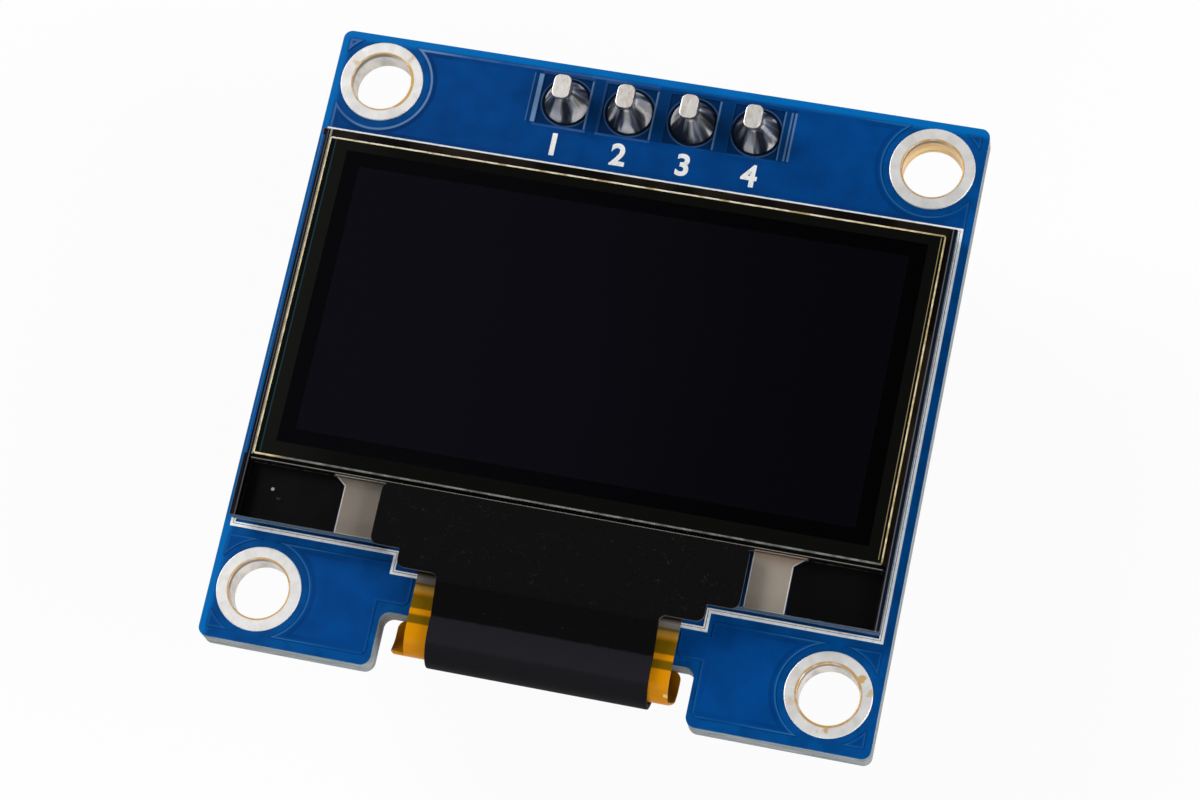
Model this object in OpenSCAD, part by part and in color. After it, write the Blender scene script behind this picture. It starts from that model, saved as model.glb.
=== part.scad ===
// Small OLED display module: a circuit board with four plated mounting holes,
// a glass display panel whose flex folds round through a notch in the bottom
// edge, and a four-pin header that points backwards.
//
// Millimetres. Origin: centre of the four mounting holes, on the back face of
// the board. +Z comes out of the display, +Y runs towards the header, +X is to
// the right as the display is read.

/* [Board] */
// Width of the board
board_w = 26; // [25:0.1:32]
// Height of the board, from the notched edge to the header edge
board_h = 25.2; // [24.6:0.1:32]
// Thickness of the board
board_t = 1.2; // [0.8:0.1:2]
// Radius of the board's outer corners
board_corner_r = 0.35; // [0.1:0.05:1]

/* [Mounting holes] */
// Clear diameter of each mounting hole
hole_d = 2.33; // [1.6:0.01:2.6]
// Outer diameter of the tinned ring round each hole
ring_d = 3.32; // [2.8:0.02:3.6]
// Thickness of the tinned ring on each face
ring_t = 0.05; // [0.03:0.01:0.1]
// Wall of the plated barrel inside each hole
barrel_wall = 0.05; // [0.03:0.01:0.1]
// Distance from a hole's centre to the side edge
hole_side = 1.95; // [1.85:0.05:2.5]
// Distance from an upper hole's centre to the header edge
hole_top = 1.95; // [1.85:0.05:2.3]
// Distance from a lower hole's centre to the notched edge
hole_bottom = 2.15; // [1.85:0.05:2.4]

/* [Notch] */
// Width of the notch that the flex folds through
notch_w = 12.2; // [11.8:0.1:13.5]
// Depth of the notch, from the board's lower edge
notch_depth = 2.2; // [2:0.05:2.6]
// Radius of the notch's inner corners and of its lips
notch_r = 0.4; // [0.1:0.05:0.6]
// Sideways offset of the notch from the board's centre line
notch_shift = -0.1; // [-0.2:0.05:0.1]

/* [Header] */
// Pitch of the header pins
pin_pitch = 2.54; // [2:0.01:2.6]
// Width of a square pin
pin_w = 0.64; // [0.5:0.01:0.7]
// Distance from the pins' centre line to the header edge of the board
header_top = 1.6; // [1.3:0.05:1.8]
// Sideways offset of the header from the board's centre line
header_shift = 0.25; // [-0.5:0.05:0.5]
// Height of the pins above the front face of the board
pin_front = 1.8; // [1.4:0.05:2.4]
// Free length of the pins behind the plastic strip
pin_back = 6; // [4:0.1:9]
// Length of the taper at a pin's mating end
pin_taper = 0.8; // [0.4:0.1:1.2]
// Width across a pin's tip at the mating end
pin_tip_w = 0.3; // [0.2:0.05:0.4]
// Height of the plastic strip
strip_h = 2.5; // [1.5:0.1:3]
// Depth of the plastic strip across the row
strip_d = 2.5; // [2:0.1:2.6]
// Chamfer between the cells of the plastic strip
strip_chamfer = 0.5; // [0.2:0.05:0.7]
// Long side of a pin's cropped front end
crop_long = 0.98; // [0.8:0.02:1.1]
// Short side of a pin's cropped front end
crop_short = 0.68; // [0.6:0.01:0.74]
// Corner radius of the cropped front end
crop_r = 0.25; // [0.1:0.01:0.28]
// Height of the cropped front end
crop_h = 0.3; // [0.15:0.05:0.45]

/* [Header solder] */
// Diameter of the drilled and plated pin hole
pin_hole_d = 1; // [0.98:0.01:1.2]
// Diameter of a solder cone on the board
cone_d = 1.76; // [1.5:0.02:1.9]
// Height of a solder cone
cone_h = 1.1; // [0.8:0.05:1.2]
// Radius of a solder cone where it meets the pin
cone_top_r = 0.48; // [0.46:0.01:0.55]

/* [Display panel] */
// Distance from each side edge of the board to the front glass
panel_side = 0.42; // [0.3:0.02:0.8]
// Distance from the header edge of the board to the top of the glass
panel_top = 4.65; // [4.4:0.05:4.9]
// Distance from the notched edge of the board to the foot of the glass
panel_foot = 4.55; // [4.5:0.05:5]
// Height of the ledge below the rear glass
ledge_h = 2.47; // [2.2:0.01:2.8]
// Thickness of the front glass
front_glass_t = 0.6; // [0.4:0.05:0.8]
// Thickness of the rear glass
rear_glass_t = 0.5; // [0.4:0.05:0.7]
// Setback of the rear glass from the sides of the front glass
rear_inset = 0.2; // [0.1:0.05:0.4]
// Thickness of the seal between the two glasses
seal_t = 0.05; // [0.03:0.01:0.1]
// Width of the seal along the sides of the rear glass
seal_side = 0.88; // [0.6:0.02:1.2]
// Width of the seal along the top of the rear glass
seal_top = 0.85; // [0.5:0.05:1.2]
// Width of the seal along the ledge
seal_foot = 0.63; // [0.4:0.01:1]
// Radius of the window's corners
window_r = 0.2; // [0.1:0.05:0.4]
// Depth of the pocket etched into the rear glass
pocket_depth = 0.25; // [0.2:0.01:0.3]
// Thickness of the desiccant sheet in the pocket
desiccant_t = 0.15; // [0.1:0.01:0.18]
// Margin of the pocket round the desiccant sheet
desiccant_edge = 1; // [0.5:0.1:2]
// Thickness of the adhesive film under the panel
adhesive_t = 0.1; // [0.05:0.01:0.2]

/* [Display image] */
// Unlit border of the window at the sides of the lit area
border_side = 0.63; // [0.3:0.01:1.2]
// Unlit border of the window above and below the lit area
border_top = 0.595; // [0.3:0.005:1.2]
// Thickness of the light-emitting layers
emitter_t = 0.03; // [0.01:0.005:0.03]

/* [Polarizer] */
// Thickness of the polarizer film
polarizer_t = 0.2; // [0.1:0.01:0.3]
// Distance from each side of the front glass to the film
polarizer_side = 0.38; // [0.2:0.01:0.6]
// Distance from the top of the front glass to the film
polarizer_top = 0.37; // [0.2:0.01:0.6]
// Distance from the ledge to the film
polarizer_foot = 0.02; // [0.02:0.01:0.2]

/* [Ledge] */
// Length of the driver chip
chip_w = 6.8; // [5:0.1:9]
// Width of the driver chip
chip_h = 0.86; // [0.6:0.02:0.9]
// Thickness of the driver chip
chip_t = 0.3; // [0.2:0.02:0.4]
// Width of each electrode tab
tab_w = 1.56; // [1:0.02:2]
// Sideways flare at the top of each tab
tab_flare = 0.5; // [0.2:0.05:0.8]
// Height of the flare at the top of each tab
tab_throat = 0.45; // [0.3:0.05:0.8]
// Gap round each tab, to the coating and to the tape
tab_gap = 0.05; // [0.03:0.01:0.1]
// Thickness of the tabs and of the black coating on the ledge
coating_t = 0.05; // [0.02:0.01:0.08]
// Setback of the black coating from the edge of the glass
coating_inset = 0.12; // [0.05:0.01:0.3]

/* [Flex] */
// Width of the flex
flex_w = 10.2; // [9.4:0.1:10.6]
// Thickness of the flex
flex_t = 0.1; // [0.06:0.01:0.12]
// Length of the flex bonded under the ledge
bond_l = 1; // [0.6:0.05:1.1]
// Distance from the fold's axis to the board's lower edge
fold_up = 1.7; // [1.5:0.05:1.8]
// Length of the flex tail on the back of the board
tail_l = 3.2; // [2.8:0.05:3.8]
// Sideways reach of the rounded ears at the fold
ear_w = 0.42; // [0.2:0.02:0.6]
// Radius of the ears' corners
ear_r = 0.35; // [0.2:0.05:0.4]
// Distance that the ears reach behind the board, past the notch
ear_tuck = 0.05; // [0.02:0.01:0.2]
// Sideways lean of the folded tail
tail_shift = -0.25; // [-0.3:0.05:0]
// Sideways offset of the flex from the board's centre line
flex_shift = 0.1; // [-0.1:0.05:0.2]

/* [Flex solder] */
// Pitch of the soldered contacts
contact_pitch = 0.35; // [0.3:0.01:0.36]
// Width of a soldered contact
contact_w = 0.2; // [0.12:0.01:0.24]
// Length of a soldered contact
contact_l = 1.1; // [0.6:0.05:1.3]
// Height of the solder on a contact
contact_t = 0.08; // [0.04:0.01:0.15]

/* [Cover tape] */
// Thickness of the tape
tape_t = 0.2; // [0.1:0.01:0.25]
// Slack between the tape and the flex at the fold
tape_slack = 0.1; // [0.05:0.01:0.15]
// Width of the tape on the ledge
tape_wide = 14.25; // [13.4:0.05:14.4]
// Width of the tape below the ledge
tape_mid = 11.86; // [11:0.02:12.2]
// Width of the tape over the fold
tape_narrow = 8.58; // [7.6:0.02:9]
// Distance from the rear glass to the tape's upper edge
tape_setback = 0.18; // [0.1:0.01:0.3]
// Distance that the wide part reaches past the glass
tape_overhang = 0.16; // [0.05:0.01:0.25]
// Distance that the middle part reaches past the glass
tape_apron = 0.87; // [0.6:0.01:1]
// Distance that the narrow part runs level before it dips to the fold
tape_level = 0.3; // [0.1:0.05:0.4]
// Distance over which the tape dips from the glass to the fold
tape_dip = 1.2; // [0.8:0.05:1.3]
// Length of the tape on the back of the flex
tape_tail = 0.5; // [0.2:0.05:0.8]
// Sideways offset of the tape from the board's centre line
tape_shift = 0.18; // [0:0.02:0.3]
// Radius of the tape's corners
tape_r = 0.32; // [0.15:0.01:0.35]
// Radius of the tape's inner corners, where the narrow part starts
tape_inner_r = 0.25; // [0.1:0.01:0.3]

/* [Small parts on the back] */
// Length of a chip capacitor or resistor
chip_part_l = 1.6; // [1.2:0.1:1.8]
// Width of a chip capacitor or resistor
chip_part_w = 0.8; // [0.6:0.05:0.9]
// Height of a chip capacitor
capacitor_h = 0.8; // [0.5:0.05:1]
// Height of a chip resistor
resistor_h = 0.45; // [0.35:0.05:0.6]
// Length of the metal cap on a chip part
end_cap_l = 0.3; // [0.2:0.05:0.4]
// Thickness of the metal cap on a chip part
end_cap_t = 0.04; // [0.03:0.01:0.08]
// Length of the regulator body
regulator_l = 2.9; // [2.6:0.1:3.1]
// Width of the regulator body
regulator_w = 1.3; // [1.2:0.05:1.6]
// Height of the regulator body
regulator_h = 1; // [0.8:0.05:1.2]
// Width across the regulator's leads
regulator_span = 2.4; // [2.2:0.1:2.8]
// Pitch of the regulator's paired leads
regulator_pitch = 1.9; // [1.7:0.05:2]
// Width of a regulator lead
lead_w = 0.4; // [0.3:0.05:0.5]
// Thickness of a regulator lead
lead_t = 0.12; // [0.08:0.01:0.18]
// Length of a regulator lead's foot on the board
lead_foot_l = 0.35; // [0.2:0.05:0.4]

/* [Hidden] */
$fn = 48;
eps = 0.01;

// Number of header pins, and of contacts on the flex tail
pin_count = 4;
contact_count = 30;

// Mounting hole pattern, centred on the origin
hole_span_x = board_w - 2 * hole_side;
hole_span_y = board_h - hole_top - hole_bottom;
board_top = hole_span_y / 2 + hole_top;
board_bottom = -hole_span_y / 2 - hole_bottom;
drill_d = hole_d + 2 * barrel_wall;

// Header row
header_y = board_top - header_top;
pin_bottom = -strip_h - pin_back;
cone_steps = 8;
pin_top = board_t + pin_front;

// Panel stack, from the board upwards
rear_glass_z = board_t + adhesive_t;
seal_z = rear_glass_z + rear_glass_t;
front_glass_z = seal_z + seal_t;
polarizer_z = front_glass_z + front_glass_t;
glass_top = board_top - panel_top;
glass_bottom = board_bottom + panel_foot;
ledge_top = glass_bottom + ledge_h;
panel_w = board_w - 2 * panel_side;
rear_w = panel_w - 2 * rear_inset;
window_top = glass_top - seal_top;
window_foot = ledge_top + seal_foot;
window_w = rear_w - 2 * seal_side;
window_shift = 0.1;

// Fold of the flex, an arc about an axis along X
fold_y = board_bottom + fold_up;
fold_r = (front_glass_z + flex_t) / 2;
fold_z = front_glass_z - fold_r;
tail_x = flex_shift + tail_shift;
tail_top = fold_y + tail_l;
ear_top = board_bottom + notch_depth + ear_tuck;

// Ledge furniture on the back face of the front glass
bond_top = glass_bottom + bond_l;
chip_y = (bond_top + ledge_top) / 2;
tab_inner = tape_wide / 2 + tab_gap;
tab_foot = glass_bottom + coating_inset;
tab_neck = ledge_top - tab_throat;
ledge_clear = 0.04;

// Tape over the ledge and round the fold
tape_head = ledge_top - tape_setback;
apron_y = glass_bottom - tape_apron;
level_y = apron_y - tape_level;
dip_end_y = level_y - tape_dip;
tape_fold_r = fold_r + tape_slack + tape_t;
tape_fold_top = fold_z + tape_fold_r;

// Small parts on the back: x, y and turn of each
capacitor_spots = [[-7.6, -3.2, 90], [-5.4, -3.2, 90], [-3.2, -3.2, 90], [5.2, -3.2, 90], [-4.4, 3.6, 90]];
resistor_spots = [
  [-1, -3.2, 90], [1.1, -3.2, 90], [3.2, -3.2, 90], [7.4, -3.2, 90],
  [4.6, 4.4, 0], [4.6, 2.6, 0]
];
regulator_spot = [-7.6, 3.6];

// Rectangle about the origin with rounded corners
module rounded_rect(w, h, r) {
  square([w - 2 * r, h], center = true);
  square([w, h - 2 * r], center = true);
  for (sx = [-1, 1], sy = [-1, 1])
    translate([sx * (w / 2 - r), sy * (h / 2 - r)]) circle(r);
}

// Rectangle centred on x that reaches from one height up the board to another
module upright_rect(x, w, from_y, to_y) {
  translate([x - w / 2, from_y]) square([w, to_y - from_y]);
}

// Fillet that fills the inner corner at the origin, on the side of +X and +Y
module inner_fillet(r) {
  difference() {
    translate([-eps, -eps]) square(r + eps);
    translate([r, r]) circle(r);
  }
}

// Flat sheet of a 2D outline between two heights
module slab(z, t) {
  translate([0, 0, z]) linear_extrude(t) children();
}

// Part of a tube about the fold's axis: angle 0 is the front, 180 the back
module fold_arc(r_out, t, w, from, to) {
  translate([0, fold_y, fold_z])
    rotate([0, 90, 0])
      rotate([0, 0, 180 + from])
        rotate_extrude(angle = to - from) translate([r_out - t, -w / 2]) square([t, w]);
}

module at_holes(i) {
  sx = i % 2 == 0 ? -1 : 1;
  sy = i < 2 ? 1 : -1;
  translate([sx * hole_span_x / 2, sy * hole_span_y / 2]) children();
}

module at_pin(i) {
  translate([header_shift + (i - (pin_count - 1) / 2) * pin_pitch, header_y]) children();
}

// ---- circuit board ----

module notch_outline() {
  translate([notch_shift, board_bottom]) {
    rounded_rect(notch_w, 2 * notch_depth, notch_r);
    for (s = [-1, 1])
      translate([s * notch_w / 2, 0]) mirror([s < 0 ? 1 : 0, 0]) inner_fillet(notch_r);
  }
}

module board_outline() {
  difference() {
    translate([0, (board_top + board_bottom) / 2]) rounded_rect(board_w, board_h, board_corner_r);
    notch_outline();
    for (i = [0:3]) at_holes(i) circle(d = drill_d);
    for (i = [0:pin_count - 1]) at_pin(i) circle(d = pin_hole_d);
  }
}

module circuit_board() {
  color("royalblue") slab(0, board_t) board_outline();
}

// Tinned ring on both faces and the barrel that joins them
module mounting_ring(i) {
  color("silver") at_holes(i) difference() {
    union() {
      cylinder(h = board_t, d = drill_d);
      translate([0, 0, -ring_t]) cylinder(h = ring_t, d = ring_d);
      translate([0, 0, board_t]) cylinder(h = ring_t, d = ring_d);
    }
    translate([0, 0, -ring_t - 1]) cylinder(h = board_t + 2 * ring_t + 2, d = hole_d);
  }
}

// ---- pin header ----

// One cell of the strip, with its four corners cut off
module strip_cell() {
  x = pin_pitch / 2;
  y = strip_d / 2;
  c = strip_chamfer;
  quarter = [[x, y - c], [x - c, y], [c - x, y], [-x, y - c]];
  polygon(concat(quarter, -quarter));
}

module header_strip() {
  waist = strip_d / 2 - strip_chamfer;
  color("#1a1a1c") slab(-strip_h, strip_h) difference() {
    union() {
      for (i = [0:pin_count - 1]) at_pin(i) strip_cell();
      upright_rect(header_shift, pin_count * pin_pitch, header_y - waist, header_y + waist);
    }
    for (i = [0:pin_count - 1]) at_pin(i) square(pin_w, center = true);
  }
}

module header_pin(i) {
  shaft_top = pin_top - crop_h;
  taper_z = pin_bottom + pin_taper;
  color("gainsboro") at_pin(i) {
    slab(taper_z, shaft_top - taper_z - crop_h) square(pin_w, center = true);
    translate([0, 0, taper_z]) mirror([0, 0, 1])
      linear_extrude(pin_taper, scale = pin_tip_w / pin_w) square(pin_w, center = true);
    hull() {
      slab(shaft_top - crop_h, eps) square(pin_w, center = true);
      slab(shaft_top + crop_h / 2, crop_h / 2) rounded_rect(crop_short, crop_long, crop_r, $fn = 24);
    }
  }
}

// Concave cone of solder from the pad up the pin, and the fill of the hole
module header_solder(i) {
  flare = cone_d / 2 - cone_top_r;
  wall = [for (a = [0:90 / cone_steps:90]) [cone_top_r + flare * (1 - sin(a)), cone_h * (1 - cos(a))]];
  color("lightgray") at_pin(i) difference() {
    union() {
      cylinder(h = board_t, d = pin_hole_d);
      translate([0, 0, board_t]) rotate_extrude() polygon(concat([[0, 0]], wall, [[0, cone_h]]));
    }
    translate([0, 0, -1]) linear_extrude(board_t + cone_h + 2) square(pin_w, center = true);
  }
}

// ---- display panel ----

module rear_outline() {
  upright_rect(0, rear_w, ledge_top, glass_top);
}

module window_outline() {
  translate([window_shift, (window_top + window_foot) / 2])
    rounded_rect(window_w, window_top - window_foot, window_r);
}

module panel_adhesive() {
  color("#202226") slab(board_t, adhesive_t) rear_outline();
}

module rear_glass() {
  color("#9fb6b0") difference() {
    slab(rear_glass_z, rear_glass_t) rear_outline();
    slab(seal_z - pocket_depth, pocket_depth + 1) window_outline();
  }
}

module desiccant_sheet() {
  edge = desiccant_edge;
  color("white") slab(seal_z - pocket_depth, desiccant_t)
    upright_rect(window_shift, window_w - 2 * edge, window_foot + edge, window_top - edge);
}

module panel_seal() {
  color("#3a3a30") slab(seal_z, seal_t) difference() {
    rear_outline();
    window_outline();
  }
}

module emitter_layers() {
  color("#0b0b12") slab(front_glass_z - emitter_t, emitter_t)
    upright_rect(window_shift, window_w - 2 * border_side, window_foot + border_top, window_top - border_top);
}

module front_glass() {
  color("#5b6b70") slab(front_glass_z, front_glass_t) upright_rect(0, panel_w, glass_bottom, glass_top);
}

module polarizer() {
  color("#141612") slab(polarizer_z, polarizer_t)
    upright_rect(0, panel_w - 2 * polarizer_side, ledge_top + polarizer_foot, glass_top - polarizer_top);
}

// ---- ledge ----

module driver_chip() {
  color("dimgray") slab(front_glass_z - chip_t, chip_t)
    translate([flex_shift, chip_y]) square([chip_w, chip_h], center = true);
}

// Outline of an electrode tab on the side s, flared towards the window
module tab_outline(s, grow) {
  outer = tab_inner + tab_w;
  head = ledge_top - ledge_clear;
  translate([tape_shift, 0]) mirror([s < 0 ? 1 : 0, 0]) polygon([
    [tab_inner - grow, tab_foot],
    [outer + grow, tab_foot],
    [outer + grow, tab_neck],
    [outer + tab_flare + grow, head],
    [tab_inner - grow, head]
  ]);
}

module electrode_tab(s) {
  color("#8a8580") slab(front_glass_z - coating_t, coating_t) tab_outline(s, 0);
}

module ledge_coating(s) {
  inner = tab_inner + s * tape_shift - tab_gap;
  outer = panel_w / 2 - coating_inset;
  head = ledge_top - ledge_clear;
  color("#0c0c0e") slab(front_glass_z - coating_t, coating_t) difference() {
    mirror([s < 0 ? 1 : 0, 0]) translate([inner, tab_foot]) square([outer - inner, head - tab_foot]);
    for (dy = [-1, 0, 1]) translate([0, dy * tab_gap]) tab_outline(s, tab_gap);
  }
}

// ---- flex ----

module display_flex() {
  ear_full = flex_w + 2 * ear_w;
  ear_bottom = fold_y - fold_r;
  color("orange") {
    slab(front_glass_z - flex_t, flex_t) upright_rect(flex_shift, flex_w, fold_y, bond_top);
    translate([flex_shift, 0, 0]) fold_arc(fold_r, flex_t, flex_w, 0, 90);
    translate([tail_x, 0, 0]) fold_arc(fold_r, flex_t, flex_w, 90, 180);
    slab(-flex_t, flex_t) upright_rect(tail_x, flex_w, fold_y, tail_top);
    intersection() {
      union() {
        translate([tail_x, 0, 0]) fold_arc(fold_r, flex_t, ear_full, 90, 180);
        slab(-flex_t, flex_t) upright_rect(tail_x, ear_full, fold_y, ear_top);
      }
      slab(-1, fold_r + 1)
        translate([tail_x, (ear_top + ear_bottom) / 2]) rounded_rect(ear_full, ear_top - ear_bottom, ear_r);
    }
  }
}

module flex_solder() {
  first_x = tail_x - (contact_count - 1) / 2 * contact_pitch;
  color("lightgray") slab(-flex_t - contact_t, contact_t)
    for (k = [0:contact_count - 1])
      upright_rect(first_x + k * contact_pitch, contact_w, tail_top - contact_l, tail_top);
}

// ---- cover tape ----

module tape_flat_outline() {
  translate([tape_shift, 0]) {
    translate([0, (tape_head + glass_bottom - tape_overhang) / 2])
      rounded_rect(tape_wide, tape_head - glass_bottom + tape_overhang, tape_r);
    translate([0, (tape_head + apron_y) / 2]) rounded_rect(tape_mid, tape_head - apron_y, tape_r);
    translate([-tape_narrow / 2, level_y]) square([tape_narrow, tape_head - level_y - tape_r]);
    for (s = [-1, 1])
      translate([s * tape_narrow / 2, apron_y])
        mirror([s < 0 ? 1 : 0, 0]) mirror([0, 1]) inner_fillet(tape_inner_r);
  }
}

// Side profile of the narrow part, from the ledge down to the fold
module tape_dip_profile() {
  start_y = level_y + tape_r;
  tape_top = polarizer_z + tape_t;
  polygon([
    [start_y, tape_top],
    [level_y, tape_top],
    [dip_end_y, tape_fold_top],
    [fold_y, tape_fold_top],
    [fold_y, tape_fold_top - tape_t],
    [dip_end_y, tape_fold_top - tape_t],
    [level_y, polarizer_z],
    [start_y, polarizer_z]
  ]);
}

module cover_tape() {
  color("#18181a") {
    slab(polarizer_z, tape_t) tape_flat_outline();
    translate([tape_shift, 0, 0]) {
      translate([-tape_narrow / 2, 0, 0]) rotate([90, 0, 90])
        linear_extrude(tape_narrow) tape_dip_profile();
      fold_arc(tape_fold_r, tape_t, tape_narrow, 0, 180);
      translate([-tape_narrow / 2, fold_y, fold_z - tape_fold_r]) cube([tape_narrow, tape_tail, tape_t]);
    }
  }
}

// ---- small parts on the back ----

module at_spot(spot) {
  translate([spot[0], spot[1], 0]) rotate([0, 0, spot[2]]) mirror([0, 0, 1]) children();
}

module chip_body(h) {
  translate([0, 0, (h + end_cap_t) / 2])
    cube([chip_part_l - 2 * end_cap_t, chip_part_w, h - end_cap_t], center = true);
}

module capacitor(i) {
  color("tan") at_spot(capacitor_spots[i]) chip_body(capacitor_h - end_cap_t);
}

module resistor(i) {
  color("#26262a") at_spot(resistor_spots[i]) chip_body(resistor_h - end_cap_t);
}

// The two metal caps of a chip part, wrapped round the ends of its body
module cap_pair(h) {
  reach = (chip_part_l - end_cap_l) / 2;
  difference() {
    for (s = [-1, 1])
      translate([s * reach, 0, h / 2]) cube([end_cap_l, chip_part_w, h], center = true);
    chip_body(h - end_cap_t);
  }
}

module end_caps() {
  color("silver") {
    for (spot = capacitor_spots) at_spot(spot) cap_pair(capacitor_h);
    for (spot = resistor_spots) at_spot(spot) cap_pair(resistor_h);
  }
}

module regulator() {
  color("#1c1c1e") translate([regulator_spot[0], regulator_spot[1], -lead_t - regulator_h / 2])
    cube([regulator_w, regulator_l, regulator_h], center = true);
}

// A gull-wing lead that leaves the body towards +X
module lead() {
  knee = regulator_span / 2 - lead_foot_l;
  mid = lead_t + regulator_h / 2;
  translate([0, lead_w / 2, 0]) rotate([90, 0, 0]) linear_extrude(lead_w) {
    translate([knee, 0]) square([lead_foot_l, lead_t]);
    translate([knee, 0]) square([lead_t, mid]);
    translate([regulator_w / 2, mid - lead_t]) square([knee + lead_t - regulator_w / 2, lead_t]);
  }
}

module regulator_leads() {
  color("silver") translate([regulator_spot[0], regulator_spot[1], 0]) mirror([0, 0, 1]) {
    for (s = [-1, 1]) translate([0, s * regulator_pitch / 2, 0]) lead();
    rotate([0, 0, 180]) lead();
  }
}

// ---- nodes ----

circuit_board();
for (i = [0:3]) mounting_ring(i);
header_strip();
for (i = [0:3]) header_pin(i);
for (i = [0:3]) header_solder(i);
panel_adhesive();
rear_glass();
desiccant_sheet();
panel_seal();
emitter_layers();
front_glass();
polarizer();
driver_chip();
electrode_tab(-1);  // electrode_tab_left
electrode_tab(1);  // electrode_tab_right
ledge_coating(-1);  // ledge_coating_left
ledge_coating(1);  // ledge_coating_right
display_flex();
flex_solder();
cover_tape();
regulator();
regulator_leads();
for (i = [0:4]) capacitor(i);
for (i = [0:5]) resistor(i);
end_caps();
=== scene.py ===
from math import pi, radians

import bmesh
import bpy
from mathutils import Euler, Matrix, Vector


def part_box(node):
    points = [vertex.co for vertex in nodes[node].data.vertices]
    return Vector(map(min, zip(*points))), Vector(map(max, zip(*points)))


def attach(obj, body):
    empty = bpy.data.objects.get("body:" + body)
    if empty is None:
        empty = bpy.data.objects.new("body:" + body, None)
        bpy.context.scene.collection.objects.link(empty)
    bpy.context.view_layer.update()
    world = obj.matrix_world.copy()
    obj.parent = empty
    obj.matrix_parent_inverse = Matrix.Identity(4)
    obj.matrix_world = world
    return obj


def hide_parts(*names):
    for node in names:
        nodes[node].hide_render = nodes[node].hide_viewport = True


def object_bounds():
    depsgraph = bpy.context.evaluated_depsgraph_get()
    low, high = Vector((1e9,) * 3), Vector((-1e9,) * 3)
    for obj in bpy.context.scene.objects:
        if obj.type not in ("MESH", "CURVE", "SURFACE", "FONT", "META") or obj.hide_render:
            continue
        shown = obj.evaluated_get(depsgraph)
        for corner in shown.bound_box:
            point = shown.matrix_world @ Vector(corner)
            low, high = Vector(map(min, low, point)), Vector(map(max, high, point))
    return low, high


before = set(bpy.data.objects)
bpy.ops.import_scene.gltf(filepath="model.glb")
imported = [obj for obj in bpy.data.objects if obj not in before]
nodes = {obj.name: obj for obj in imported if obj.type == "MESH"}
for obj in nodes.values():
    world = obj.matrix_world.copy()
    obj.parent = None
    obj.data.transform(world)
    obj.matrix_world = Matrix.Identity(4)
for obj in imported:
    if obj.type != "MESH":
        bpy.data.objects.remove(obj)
cad_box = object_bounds()

MM = 0.001          # every shape below is made in millimetres and brought to metres at the end


def span(node):
    """Lowest and highest corner of a CAD solid, in millimetres."""
    low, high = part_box(node)
    return low / MM, high / MM


# ---- the sizes that the pieces share, in millimetres ----

BOARD_TOP = span("circuit_board")[1].z
HOLES, PINS = ([sum(span(f"{kind}_{i}"), Vector()) / 2 for i in range(1, 5)]
               for kind in ("mounting_ring", "header_pin"))
HOLE_X, HOLE_Y = HOLES[1].x, HOLES[1].y
RING_LOW, RING_HIGH = span("mounting_ring_1")
RING_R = (RING_HIGH.x - RING_LOW.x) / 2
RING_T = RING_HIGH.z - BOARD_TOP
BORE_R = 1.165          # inside the plating of a mounting hole
PIN_TOP = span("header_pin_1")[1].z
PITCH = PINS[1].x - PINS[0].x
FILM_LOW, FILM_HIGH = span("polarizer")
GLASS_LOW, GLASS_HIGH = span("front_glass")
TAPE_LOW, TAPE_HIGH = span("cover_tape")
FLEX_LOW, FLEX_HIGH = span("display_flex")

MASK_STEP = 0.035       # how far the copper under the mask lifts it
INK_T = 0.02            # thickness of the white print
SINK = 0.01             # how far a raised area reaches into the board
CLEAR_R = 1.95          # gap in the copper round a mounting hole
WINDOW = (-11.4, -5.05, 11.6, 7.0)          # clear window of the display
LIT = (-10.77, -4.455, 10.97, 6.405)        # area that lights up

# Copper on the front. Rectangles are left, low, right, high.
COPPER_X = 12.7         # reach to both sides
COPPER_LOW, COPPER_HIGH = -12.32, -8.62     # foot and head of the two areas beside the notch
LEFT_X, LEFT_LIP_X = -6.45, -5.25   # their edges towards the notch: below the lip, and on it
RIGHT_X, RIGHT_LIP_X = 6.2, 5.2
LIP_Y = -10.15          # foot of the lips
STEP_X, STEP_Y = 6.35, -9.2     # step in the right area's head
COPPER_BOXES = [
    (-COPPER_X, 8.2, COPPER_X, 12.18),
    (-COPPER_X, COPPER_LOW, LEFT_X, COPPER_HIGH), (-COPPER_X, LIP_Y, LEFT_LIP_X, COPPER_HIGH),
    (RIGHT_X, COPPER_LOW, COPPER_X, STEP_Y), (STEP_X, COPPER_LOW, COPPER_X, COPPER_HIGH),
    (RIGHT_LIP_X, LIP_Y, COPPER_X, STEP_Y),
]
HEADER_BOX = (-5.0, 9.84, 5.5, 12.06)       # darker area round the pin header
GAP_LOW, GAP_HIGH = 9.87, 11.95             # gaps in the copper round the pins
PIN_GAPS = [(left, GAP_LOW, right, GAP_HIGH)
            for left, right in ((-4.65, -2.72), (-2.1, -0.1), (0.47, 2.42), (3.05, 5.0))]
HEADER_STEP_HIGHLIGHTS = [        # painted highlights on the upright steps between the gaps: left, right and how pale
    (-5.06, -5.02, 0.35), (-4.86, -4.68, 0.85), (-2.71, -2.64, 0.5), (-0.09, -0.02, 0.5),
    (2.43, 2.50, 0.55), (5.02, 5.07, 0.45), (5.27, 5.34, 0.5), (5.42, 5.5, 0.6),
]
COPPER_CORNER_R = 0.25
OUTLINE = [(-12.75, 8.32), (-12.75, -8.3), (-6.2, -8.3), (-6.2, -9.05), (6.15, -9.05), (6.15, -8.3),
           (12.68, -8.3), (12.68, 8.32)]    # print round the display
OUTLINE_BANDS = (0.10, 0.025, 0.055)        # its outer line, the space and its inner line
HIGHLIGHT_BORDER_WIDTH = 0.045                        # painted highlight round the electrodes, its width
FRONT_NUMBERS = [(-3.72, 9.08), (-1.1, 9.08), (1.48, 9.08), (4.12, 9.08)]       # print beside the pins
BACK_NUMBERS = [(pin.x, 8.95) for pin in PINS]
NUMBER_HEIGHT = 0.93

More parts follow.
